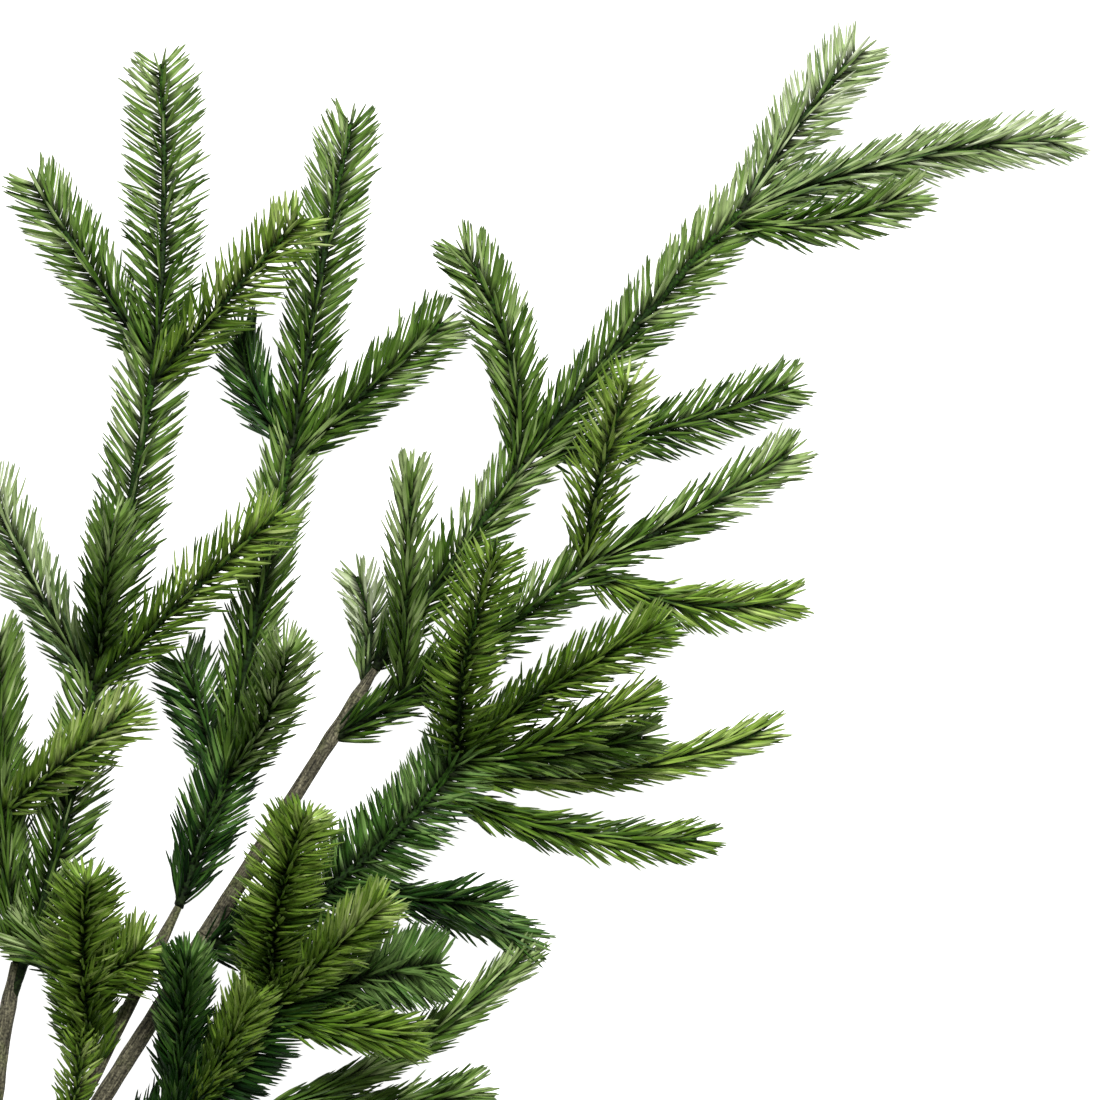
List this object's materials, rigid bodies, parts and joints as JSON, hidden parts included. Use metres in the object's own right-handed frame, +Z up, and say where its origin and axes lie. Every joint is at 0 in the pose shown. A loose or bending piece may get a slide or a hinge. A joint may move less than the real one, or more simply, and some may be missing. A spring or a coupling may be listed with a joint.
{
  "type": "spruce branch",
  "caption": "Cut spruce branch lying flat, with forked bare stems that carry sprays of needled shoots.",
  "frame": {"origin": "on the surface that the branch lies on, under the middle of its box", "axes": "+Z up off the surface, +Y towards the tips of the upper shoots, +X to the right as seen from above"},
  "size_m": [0.4444, 0.4972, 0.0781],
  "materials": {
    "bark": "rough grey-brown bark",
    "needles": "satin green needles on a thin green-brown twig"
  },
  "bodies": {
    "root": {"main_stem": "bark", "right_stem_lower": "bark", "right_stem_upper": "bark", "middle_stem": "bark", "left_stem": "bark", "left_leader": "needles", "left_twig_lower": "needles", "left_twig_upper": "needles", "left_top_middle": "needles", "left_top_left": "needles", "left_top_right": "needles", "left_side_left": "needles", "left_side_right": "needles", "left_front": "needles", "left_low_front": "needles", "left_low_back": "needles", "left_outer": "needles", "left_outer_front": "needles", "middle_twig_lower": "needles", "middle_twig_upper": "needles", "middle_top_middle": "needles", "middle_top_left": "needles", "middle_top_right": "needles", "middle_front": "needles", "middle_back": "needles", "small_middle": "needles", "small_right": "needles", "small_left": "needles", "small_low": "needles", "right_twig_lower": "needles", "right_twig_upper": "needles", "right_top_middle": "needles", "right_top_right": "needles", "right_top_front": "needles", "right_side_left": "needles", "right_side_right": "needles", "upper_twig": "needles", "upper_middle": "needles", "upper_front": "needles", "upper_right": "needles", "upper_left": "needles", "upper_back": "needles", "lower_twig": "needles", "lower_front": "needles", "lower_left": "needles", "lower_middle": "needles", "lower_middle_upper": "needles", "lower_right": "needles", "lower_low": "needles", "lower_near_right": "needles", "lower_near_left": "needles", "base_twig": "needles", "base_front": "needles", "base_left": "needles", "base_right": "needles", "base_right_lower": "needles", "base_over_stem": "needles", "base_back": "needles", "base_low": "needles", "base_lowest": "needles"}
  },
  "joints": []
}
